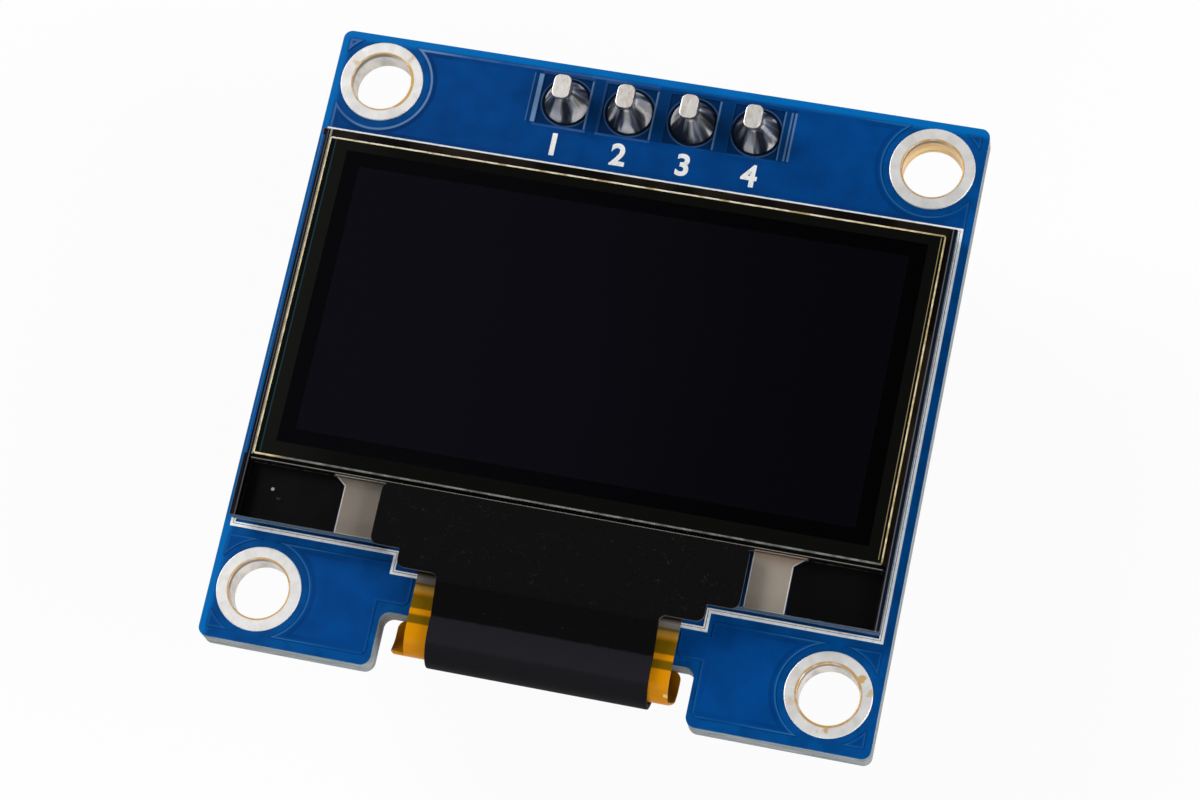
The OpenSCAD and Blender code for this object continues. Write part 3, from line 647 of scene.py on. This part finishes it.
def tape_finish():
    """Matt black tape with short fibres on it, smoother where it is pulled over the fold, with painted shade
    and reflection down the slope and round the fold.
    """
    f = Finish("black_tape")
    # painted shade and reflection: darker down the slope, greyer round the fold, darker again below it
    stops = [(-8.0, (0.003, 0.0028, 0.0033)), (-9.25, (0.0028, 0.0026, 0.0031)),
             (-9.35, (0.0014, 0.0013, 0.0017)), (-10.5, (0.0017, 0.0016, 0.0021)),
             (-10.58, (0.012, 0.0112, 0.015)), (-11.5, (0.014, 0.013, 0.017)),
             (-11.62, (0.0095, 0.0085, 0.011)), (-12.2, (0.006, 0.0055, 0.007))]
    body = f.down(f.y + (f.noise(2.0, 4.0) - 0.5) * 0.12, -7.5, -12.5, stops)
    threads = abs(f.noise(2.4, 1.5, distortion=1.2) - 0.5)
    broken = f.soft(f.noise(1.7, 2.0), 0.50, 0.60)
    fibres = (1 - f.soft(threads, 0.0, 0.010)) * broken * (f.y > -9.2)
    specks = f.soft(f.noise(11.0, 2.0), 0.70, 0.74)
    colour = f.mix(body, (0.022, 0.021, 0.023), (fibres | (specks * 0.7)) * 0.8)
    # painted highlight on the tape's upper side walls
    rim = (f.z < TAPE_HIGH.z - 0.03) * (f.z > TAPE_LOW.z + 0.4) * (f.y > -9.25)
    colour = f.mix(colour, (0.085, 0.083, 0.082), rim)
    grain = f.noise(14.0)
    return f.surface(colour, 0.62 + 0.1 * grain, specular=0.05,
                     normal=f.bump(grain + 0.6 * fibres, 0.010))


def metal_finish(name, dull, bright, roughness):
    """Plain plated metal with slight clouding."""
    f = Finish(name)
    clouds = f.noise(3.0, 4.0)
    return f.surface(f.mix(dull, bright, clouds), roughness + 0.15 * clouds, 1.0, f.bump(clouds, 0.01))


finishes = {        # every finish by the name that the pieces know it by
    "board": board_finish(),
    "raised_mask": raised_mask_finish(),
    "back_mask": back_mask_finish(),
    "print": print_finish(),
    "tinned_ring": tinned_finish(),
    "black_plastic": plastic_finish("header_plastic", (0.008, 0.008, 0.009), 0.45),
    "pin_metal": pin_finish(),
    "solder": solder_finish(),
    "black_film": dark_film_finish("adhesive_film", (0.006, 0.006, 0.007), (0.0096, 0.0096, 0.0111), 0.6),
    "rear_glass": rear_glass_finish(),
    "desiccant": sheet_finish("desiccant_paper", (0.75, 0.75, 0.72), 0.8),
    "panel_seal": dark_film_finish("edge_seal", (0.006, 0.006, 0.005), (0.014, 0.013, 0.010), 0.4,
                                   per_mm=2.0, spread=0.2, specular=0.2),
    "emitter": dark_film_finish("emitting_layers", (0.003, 0.003, 0.005), (0.0051, 0.0051, 0.0081), 0.1),
    "front_glass": glass_finish(),
    "polarizer": film_finish(),
    "bare_chip": dark_film_finish("silicon_chip", (0.03, 0.03, 0.035), (0.0456, 0.0456, 0.0531), 0.1),
    "electrode": tab_finish("electrode_film", (0.315, 0.266, 0.224)),
    # painted highlight: a pale border round each electrode
    "electrode_highlight_rim": tab_finish("electrode_painted_highlight", (0.72, 0.67, 0.60)),
    "ledge_coating": ledge_finish(),
    "flex": flex_finish(),
    "joint_solder": metal_finish("part_solder", (0.45, 0.45, 0.46), (0.82, 0.82, 0.81), 0.22),
    "contact_solder": metal_finish("contact_solder_tin", (0.6, 0.6, 0.6), (0.85, 0.85, 0.85), 0.25),
    "cover_tape": tape_finish(),
    "moulded_package": plastic_finish("moulded_epoxy", (0.010, 0.010, 0.011), 0.6, 14.0),
    "lead_metal": metal_finish("tinned_leads", (0.6, 0.6, 0.6), (0.8, 0.8, 0.8), 0.3),
    "capacitor_body": sheet_finish("capacitor_ceramic", (0.36, 0.23, 0.13), 0.5),
    "resistor_body": plastic_finish("resistor_glaze", (0.010, 0.010, 0.012), 0.25, 6.0),
    "end_cap": metal_finish("tinned_end_caps", (0.62, 0.62, 0.61), (0.86, 0.86, 0.85), 0.28),
}


# ---- making pieces ----

def as_mesh(bm, name):
    mesh = bpy.data.meshes.new(name)
    bm.to_mesh(mesh)
    bm.free()
    return mesh


def put(name, data):
    """Puts a mesh, text, lamp or camera into the scene."""
    made = bpy.data.objects.new(name, data)
    bpy.context.scene.collection.objects.link(made)
    return made


def finish_piece(bm, name, look, stands_for=(), smooth_angle=20, second=None):
    """Turns a bmesh in millimetres into a piece that rides on the body. Its faces may have a second look."""
    bmesh.ops.recalc_face_normals(bm, faces=bm.faces)
    for edge in bm.edges:
        edge.smooth = len(edge.link_faces) == 2 and edge.calc_face_angle(0) < radians(smooth_angle)
    for face in bm.faces:
        face.smooth = True
    bmesh.ops.scale(bm, vec=(MM,) * 3, verts=bm.verts)
    mesh = as_mesh(bm, name)
    for used in (look, second) if second else (look,):
        mesh.materials.append(finishes[used])
    piece = put(name, mesh)
    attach(piece, "root")
    if stands_for:
        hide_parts(*stands_for)


def outline_face(bm, points, z):
    return bm.faces.new([bm.verts.new((x, y, z)) for x, y in points])


def extruded(bm, faces, height):
    """Extrudes flat faces straight up or down into closed plates, and gives the new corners."""
    grown = bmesh.ops.extrude_face_region(bm, geom=faces)
    corners = [v for v in grown["geom"] if isinstance(v, bmesh.types.BMVert)]
    bmesh.ops.translate(bm, vec=(0, 0, height), verts=corners)
    return corners


def plate(bm, points, z, height):
    """Adds a closed plate of any outline between two heights."""
    extruded(bm, [outline_face(bm, points, z)], height)


def inset(bm, faces, width):
    """Cuts a border of that width off flat faces, and gives the border's faces."""
    return bmesh.ops.inset_region(bm, faces=faces, thickness=width, use_boundary=True,
                                  use_even_offset=True)["faces"]


def box_points(x0, y0, x1, y1):
    return [(x0, y0), (x1, y0), (x1, y1), (x0, y1)]


def round_corners(bm, corners, radius):
    """Rounds the upright edges at the given places."""
    edges = [e for e in bm.edges if abs(e.verts[0].co.z - e.verts[1].co.z) > 1e-4
             and any((e.verts[0].co.xy - Vector(c)).length < 1e-3 for c in corners)]
    bmesh.ops.bevel(bm, geom=edges, offset=radius, segments=8, affect="EDGES", profile=0.5, material=-1)


def soften(bm, width, segments=2, angle=30, keep=lambda edge: True):
    """Breaks the sharp edges."""
    sharp = [e for e in bm.edges
             if len(e.link_faces) == 2 and e.calc_face_angle(0) > radians(angle) and keep(e)]
    bmesh.ops.bevel(bm, geom=sharp, offset=width, segments=segments, affect="EDGES", profile=0.5,
                    material=-1, clamp_overlap=True)


def carve(body, tools):
    """The body without the space that the tools fill."""
    target, cutter = (put("shape", as_mesh(bm, "shape")) for bm in (body, tools))
    cut = target.modifiers.new("cut", "BOOLEAN")
    cut.operation, cut.solver, cut.object = "DIFFERENCE", "EXACT", cutter
    graph = bpy.context.evaluated_depsgraph_get()
    result = bmesh.new()
    result.from_mesh(target.evaluated_get(graph).to_mesh())
    for made in (target, cutter):
        mesh = made.data
        bpy.data.objects.remove(made)
        bpy.data.meshes.remove(mesh)
    return result


def cad_copy(node):
    """A CAD solid's mesh in millimetres, its loose triangles joined and flat areas made whole."""
    bm = bmesh.new()
    bm.from_mesh(nodes[node].data)
    bmesh.ops.scale(bm, vec=(1 / MM,) * 3, verts=bm.verts)
    bmesh.ops.remove_doubles(bm, verts=bm.verts, dist=1e-4)
    bmesh.ops.dissolve_limit(bm, angle_limit=radians(0.5), verts=bm.verts, edges=bm.edges)
    return bm


def lathe(bm, profile, centre, steps):
    """Turns a closed profile of radius and height about an upright axis."""
    verts = [bm.verts.new((centre.x + r, centre.y, z)) for r, z in profile]
    edges = [bm.edges.new(pair) for pair in zip(verts, verts[1:] + verts[:1])]
    bmesh.ops.spin(bm, geom=verts + edges, cent=(centre.x, centre.y, 0), axis=(0, 0, 1), angle=2 * pi,
                   steps=steps, use_merge=True)
    bmesh.ops.remove_doubles(bm, verts=bm.verts, dist=1e-4)


# ---- board, copper and print ----

def clearances(bm, top, bottom):
    """Round gaps in the copper about the mounting holes."""
    for hole in HOLES:
        middle = Matrix.Translation((hole.x, hole.y, (top + bottom) / 2))
        bmesh.ops.create_cone(bm, segments=72, cap_ends=True, radius1=CLEAR_R, radius2=CLEAR_R,
                              depth=top - bottom, matrix=middle)


def copper_areas():
    """The copper under the mask lifts it by a small step, with gaps round the holes and pins."""
    bottom, top = BOARD_TOP - SINK, BOARD_TOP + MASK_STEP
    height = top - bottom
    areas = bmesh.new()
    plate(areas, box_points(*COPPER_BOXES[0]), bottom, height)
    plate(areas, [(-COPPER_X, COPPER_LOW), (LEFT_X, COPPER_LOW), (LEFT_X, LIP_Y), (LEFT_LIP_X, LIP_Y),
                  (LEFT_LIP_X, COPPER_HIGH), (-COPPER_X, COPPER_HIGH)], bottom, height)
    plate(areas, [(RIGHT_X, COPPER_LOW), (COPPER_X, COPPER_LOW), (COPPER_X, COPPER_HIGH),
                  (STEP_X, COPPER_HIGH), (STEP_X, STEP_Y), (RIGHT_LIP_X, STEP_Y), (RIGHT_LIP_X, LIP_Y),
                  (RIGHT_X, LIP_Y)], bottom, height)
    rounded = [(LEFT_X, COPPER_LOW), (RIGHT_X, COPPER_LOW), (LEFT_LIP_X, LIP_Y), (RIGHT_LIP_X, LIP_Y)]
    round_corners(areas, rounded, COPPER_CORNER_R)
    tools = bmesh.new()
    clearances(tools, top + 1, bottom - 1)
    for gap in PIN_GAPS:
        plate(tools, box_points(*gap), bottom - 1, 3)
    carved = carve(areas, tools)
    carved.normal_update()
    soften(carved, 0.03, keep=lambda edge: min(v.co.z for v in edge.verts) > top - 1e-3)
    finish_piece(carved, "copper_under_mask_front", "raised_mask")


def printed_outline():
    """White double line printed round the display, with a step above the notch."""
    bm = bmesh.new()
    face = outline_face(bm, OUTLINE, BOARD_TOP - SINK)
    bm.normal_update()
    outer, space, inner = (inset(bm, [face], width) for width in OUTLINE_BANDS)
    bmesh.ops.delete(bm, geom=[face] + space, context="FACES")
    extruded(bm, outer + inner, MASK_STEP + INK_T + SINK)
    finish_piece(bm, "print_display_outline", "print")


def printed_numbers(side, places, z, facing=1):
    """Plain numbers beside the pins. facing is -1 on the back of the board."""
    for number, (x, y) in enumerate(places, 1):
        curve = bpy.data.curves.new("number", "FONT")
        curve.body, curve.extrude, curve.offset = str(number), INK_T / 2, 0.03
        text = put("number", curve)
        bpy.context.view_layer.update()
        bm = bmesh.new()
        bm.from_mesh(text.evaluated_get(bpy.context.evaluated_depsgraph_get()).to_mesh())
        bpy.data.objects.remove(text)
        bpy.data.curves.remove(curve)
        low = Vector(min(v.co[i] for v in bm.verts) for i in range(3))
        high = Vector(max(v.co[i] for v in bm.verts) for i in range(3))
        size = NUMBER_HEIGHT / (high.y - low.y)
        bmesh.ops.translate(bm, vec=-(low + high) / 2, verts=bm.verts)
        bmesh.ops.scale(bm, vec=(size * facing, size, 1), verts=bm.verts)
        bmesh.ops.translate(bm, vec=(x, y, z), verts=bm.verts)
        bmesh.ops.remove_doubles(bm, verts=bm.verts, dist=1e-4)
        finish_piece(bm, f"print_pin_{number}_{side}", "print")


def tinned_rings():
    """Rings with a rounded rim of tin on both faces, joined by the plated bore."""
    t = RING_T
    for i, hole in enumerate(HOLES, 1):
        upper = [(BORE_R, -0.03), (BORE_R, t - 0.03), (BORE_R + 0.008, t - 0.012), (BORE_R + 0.03, t),
                 (RING_R - 0.035, t), (RING_R - 0.01, t - 0.012), (RING_R, t - 0.03), (RING_R, 0.0)]
        front = [(r, BOARD_TOP + z) for r, z in upper]
        back = [(r, -z) for r, z in reversed(upper)]
        wall = BORE_R + 0.05
        bm = bmesh.new()
        lathe(bm, front + [(wall, BOARD_TOP), (wall, 0)] + back, hole, 64)
        finish_piece(bm, f"tinned_ring_{i}", "tinned_ring", [f"mounting_ring_{i}"])


def pin_joints():
    """Steep cones of solder that climb the pins, rounded where they meet the pads."""
    low, high = span("header_solder_1")
    foot, rise = (high.x - low.x) / 2, high.z - BOARD_TOP
    slope = [(1.0, 0.0), (0.99, 0.05), (0.95, 0.13), (0.88, 0.26), (0.78, 0.42), (0.68, 0.58), (0.58, 0.74),
             (0.50, 0.87), (0.44, 0.96), (0.40, 1.0)]       # share of the foot, share of the rise
    hole, core = 0.5, 0.25      # radius of the hole that it fills, and of its hidden wall inside the pin
    for i, pin in enumerate(PINS, 1):
        cone = [(foot * out, BOARD_TOP + rise * up) for out, up in slope]
        bm = bmesh.new()
        lathe(bm, cone[::-1] + [(hole, BOARD_TOP), (hole, 0), (core, 0), (core, high.z)], pin, 40)
        finish_piece(bm, f"pin_joint_{i}", "solder", [f"header_solder_{i}"], 40)


# ---- the back of the board ----

def track(bm, points, width, height):
    """Adds a copper track under the mask of the back, with mitred corners."""
    path = [Vector(point) for point in points]
    sides = []
    for i, here in enumerate(path):
        before = (here - path[i - 1]).normalized() if i else (path[1] - here).normalized()
        after = (path[i + 1] - here).normalized() if i + 1 < len(path) else before
        across = Vector((-before.y - after.y, before.x + after.x)).normalized()
        reach = width / 2 / across.dot(Vector((-before.y, before.x)))
        sides.append((here + across * reach, here - across * reach))
    plate(bm, [a for a, b in sides] + [b for a, b in reversed(sides)], -height, height + SINK)


def back_tracks():
    bm = bmesh.new()
    for i, (width, points) in enumerate(TRACKS):
        track(bm, points, width, MASK_STEP - 0.001 * (i % 6))      # tracks that meet aren't level
    soften(bm, 0.02, 1, keep=lambda edge: max(v.co.z for v in edge.verts) < -0.5 * MASK_STEP)
    finish_piece(bm, "back_tracks", "back_mask")


def back_copper():
    """Copper round the sides of the back, clear of the holes, the parts, the header and the notch."""
    low, high = -MASK_STEP, SINK
    areas = bmesh.new()
    plate(areas, box_points(*BACK_COPPER), low, high - low)
    tools = bmesh.new()
    clearances(tools, 1, -1)
    plate(tools, box_points(*BACK_PARTS), -1, 2)
    cut = carve(areas, tools)
    tools = bmesh.new()
    for box in BACK_CUTS:
        plate(tools, box_points(*box), -1, 2)
    cut = carve(cut, tools)
    cut.normal_update()
    soften(cut, 0.025, 1, keep=lambda edge: max(v.co.z for v in edge.verts) < low + 1e-3)
    finish_piece(cut, "back_copper", "back_mask")


def vias():
    """Small plated holes closed over by the mask, each with a dimple."""
    bm = bmesh.new()
    bowl = [(0, SINK), (0, -0.012), (0.09, -0.014), (0.14, -0.05), (0.25, -0.05), (0.30, -0.01), (0.30, SINK)]
    for x, y in VIAS:
        lathe(bm, bowl, Vector((x, y, 0)), 20)
    finish_piece(bm, "back_vias", "back_mask", smooth_angle=50)


def solder_fillet(bm, x, y, out_x, out_y, width, height):
    """Adds a wedge of solder that slopes down to its pad, away from a part's end."""
    run, toe = 0.3, 0.06        # how far it reaches, and its thickness there
    across_x, across_y = abs(out_y) * width / 2, abs(out_x) * width / 2
    near = [(x - across_x, y - across_y), (x + across_x, y + across_y)]
    far = [(px + out_x * run, py + out_y * run) for px, py in near]
    face = outline_face(bm, near + far[::-1], SINK / 2)
    for vert in extruded(bm, [face], 0):
        at_part = min((vert.co.xy - Vector(point)).length for point in near) < 1e-4
        vert.co.z = -height if at_part else -toe


def part_joints():
    """Solder at both ends of each chip part, and on the regulator's leads."""
    bm = bmesh.new()
    for kind, count, height in CHIP_JOINTS:
        for i in range(1, count + 1):
            low, high = span(f"{kind}_{i}")
            middle, upright = (low + high) / 2, high.y - low.y > high.x - low.x
            for side in (-1, 1):
                out = (0, side) if upright else (side, 0)
                solder_fillet(bm, middle.x + out[0] * CHIP_REACH, middle.y + out[1] * CHIP_REACH, *out,
                              CHIP_JOINT_WIDTH, height)
    low, high = span("regulator_leads")
    y = ((low + high) / 2).y
    for x, y, side in ((high.x, y - LEAD_SPREAD, 1), (high.x, y + LEAD_SPREAD, 1), (low.x, y, -1)):
        solder_fillet(bm, x - side * 0.02, y, side, 0, LEAD_JOINT_WIDTH, LEAD_JOINT_HEIGHT)
    soften(bm, 0.03, keep=lambda edge: max(v.co.z for v in edge.verts) < -0.04)
    finish_piece(bm, "part_solder_joints", "joint_solder")


def flex_pads():
    """Tinned pads of the board that show past the end of the flex."""
    half, under, past, thick = 0.09, 0.02, 0.45, 0.03
    bm = bmesh.new()
    for i in range(CONTACTS):
        x = TAIL_X + (i - (CONTACTS - 1) / 2) * CONTACT_PITCH
        plate(bm, box_points(x - half, TAIL_Y - under, x + half, TAIL_Y + past), -thick, thick + SINK / 2)
    finish_piece(bm, "flex_pads", "joint_solder")


def printed_boxes():
    """Thin printed frames round parts of the back."""
    bm = bmesh.new()
    for box in PRINTED_FRAMES:
        face = outline_face(bm, box_points(*box)[::-1], SINK / 2)
        bm.normal_update()
        rim = inset(bm, [face], FRAME_WIDTH)
        bmesh.ops.delete(bm, geom=[face], context="FACES")
        extruded(bm, rim, -MASK_STEP - INK_T - SINK / 2)
    finish_piece(bm, "print_back_frames", "print")


# ---- the CAD solids ----

LOOKS = {
    "circuit_board": "board", "panel_adhesive": "black_film", "rear_glass": "rear_glass",
    "desiccant_sheet": "desiccant", "panel_seal": "panel_seal", "emitter_layers": "emitter",
    "driver_chip": "bare_chip",
    "ledge_coating_left": "ledge_coating", "ledge_coating_right": "ledge_coating",
    "flex_solder": "contact_solder",
}
SOFTENED = [    # node, look and slot, width of the broken edge, its steps, and the angle that counts as sharp
    ("header_strip", "black_plastic", 0.12, 2, 30),
    ("front_glass", "front_glass", 0.03, 1, 30),
    ("polarizer", "polarizer", 0.06, 1, 30),
    ("display_flex", "flex", 0.012, 1, 50),
    ("cover_tape", "cover_tape", 0.04, 2, 50),
    ("regulator", "moulded_package", 0.06, 2, 30),
    ("regulator_leads", "lead_metal", 0.03, 2, 30),
    ("end_caps", "end_cap", 0.03, 2, 50),
    *((f"header_pin_{i}", "pin_metal", 0.03, 2, 30) for i in range(1, 5)),
    *((f"capacitor_{i}", "capacitor_body", 0.02, 2, 30) for i in range(1, 6)),
    *((f"resistor_{i}", "resistor_body", 0.02, 2, 30) for i in range(1, 7)),
]


def dress_solids():
    """Gives the CAD solids that stay their finish."""
    for node, look in LOOKS.items():
        mesh = nodes[node].data
        mesh.materials.clear()
        mesh.materials.append(finishes[look])


def soften_solids():
    """Solids whose edges catch the light get them broken."""
    for node, look, width, segments, angle in SOFTENED:
        bm = cad_copy(node)
        soften(bm, width, segments, angle)
        finish_piece(bm, node + "_finished", look, [node])


def electrodes():
    """Metal films on the display's ledge, each with a pale border painted as a highlight."""
    for side in ("left", "right"):
        node = "electrode_tab_" + side
        bm = cad_copy(node)
        for face in inset(bm, [face for face in bm.faces if face.normal.z > 0.9], HIGHLIGHT_BORDER_WIDTH):
            face.material_index = 1
        finish_piece(bm, node + "_finished", "electrode", [node], second="electrode_highlight_rim")


# ---- stage, lights and camera ----

def stage_material():
    """Pale floor that looks white from above, keeps a soft shadow, and is clear from below."""
    f = Finish("stage_pale")
    diffuse = f.node("BsdfDiffuse", {0: (0.9, 0.9, 0.9, 1)})[0]
    white = f.node("Emission")[0]
    paths = f.node("LightPath")
    seen = (Value(f, paths["Is Camera Ray"]) | paths["Is Glossy Ray"]) * 0.93
    backfacing = f.node("NewGeometry")["Backfacing"]
    nothing = f.node("BsdfTransparent")[0]
    return f.output(f.blend(backfacing, f.blend(seen, diffuse, white), nothing))


def make_floor():
    bm = bmesh.new()
    bmesh.ops.create_grid(bm, x_segments=1, y_segments=1, size=0.6,
                          matrix=Matrix.Translation((0, 0, cad_box[0].z)))
    floor = put("floor", as_mesh(bm, "floor"))
    floor.data.materials.append(stage_material())


def make_world():
    """White behind the object, and a dim room above it that brightens towards the horizon."""
    world = bpy.data.worlds.new("studio")
    bpy.context.scene.world = world
    w = Nodes(world)
    upwards = w.node("SeparateXYZ", {0: w.node("TexCoord")["Generated"]})[2]
    strength = w.node("MapRange", {0: upwards, 1: 0.15, 2: 0.9, 3: 0.42, 4: 0.05})[0]
    room = w.node("Background", {"Color": (1, 1, 1, 1), "Strength": strength})[0]
    white = w.node("Background", {"Color": (1, 1, 1, 1)})[0]
    seen = w.node("LightPath")["Is Camera Ray"]
    w.node("OutputWorld", {0: w.blend(seen, room, white)})


LAMPS = {       # place in metres, and power
    "key_left": ((-0.22, 0.10, 0.20), 0.60),
    "fill_right": ((0.24, -0.02, 0.16), 0.48),
    "fill_front": ((0.0, -0.26, 0.14), 0.25),
}
LAMP_SIZE = 0.16


def make_lights():
    """Large square lamps that face the object."""
    for name, (place, power) in LAMPS.items():
        lamp = bpy.data.lights.new(name, "AREA")
        lamp.size, lamp.energy = LAMP_SIZE, power
        made = put(name, lamp)
        made.location = place
        made.rotation_euler = (-Vector(place)).to_track_quat("-Z", "Y").to_euler()


def make_camera():
    data = bpy.data.cameras.new("camera")
    data.lens = 119.6
    data.sensor_width = 36
    data.shift_x, data.shift_y = 0.1, -0.1
    data.clip_start, data.clip_end = 0.01, 5
    camera = put("camera", data)
    camera.location = (0.0252, -0.0419, 0.1464)
    camera.rotation_euler = Euler([radians(a) for a in (19.037, 7.85, 12.586)])
    bpy.context.scene.camera = camera


dress_solids()
soften_solids()
electrodes()
copper_areas()
printed_outline()
back_copper()
back_tracks()
vias()
part_joints()
flex_pads()
printed_boxes()
printed_numbers("back", BACK_NUMBERS, -MASK_STEP, -1)
printed_numbers("front", FRONT_NUMBERS, BOARD_TOP + MASK_STEP + INK_T / 2)
tinned_rings()
pin_joints()
make_floor()
make_world()
make_lights()
make_camera()
bpy.context.scene.view_settings.view_transform = "Standard"
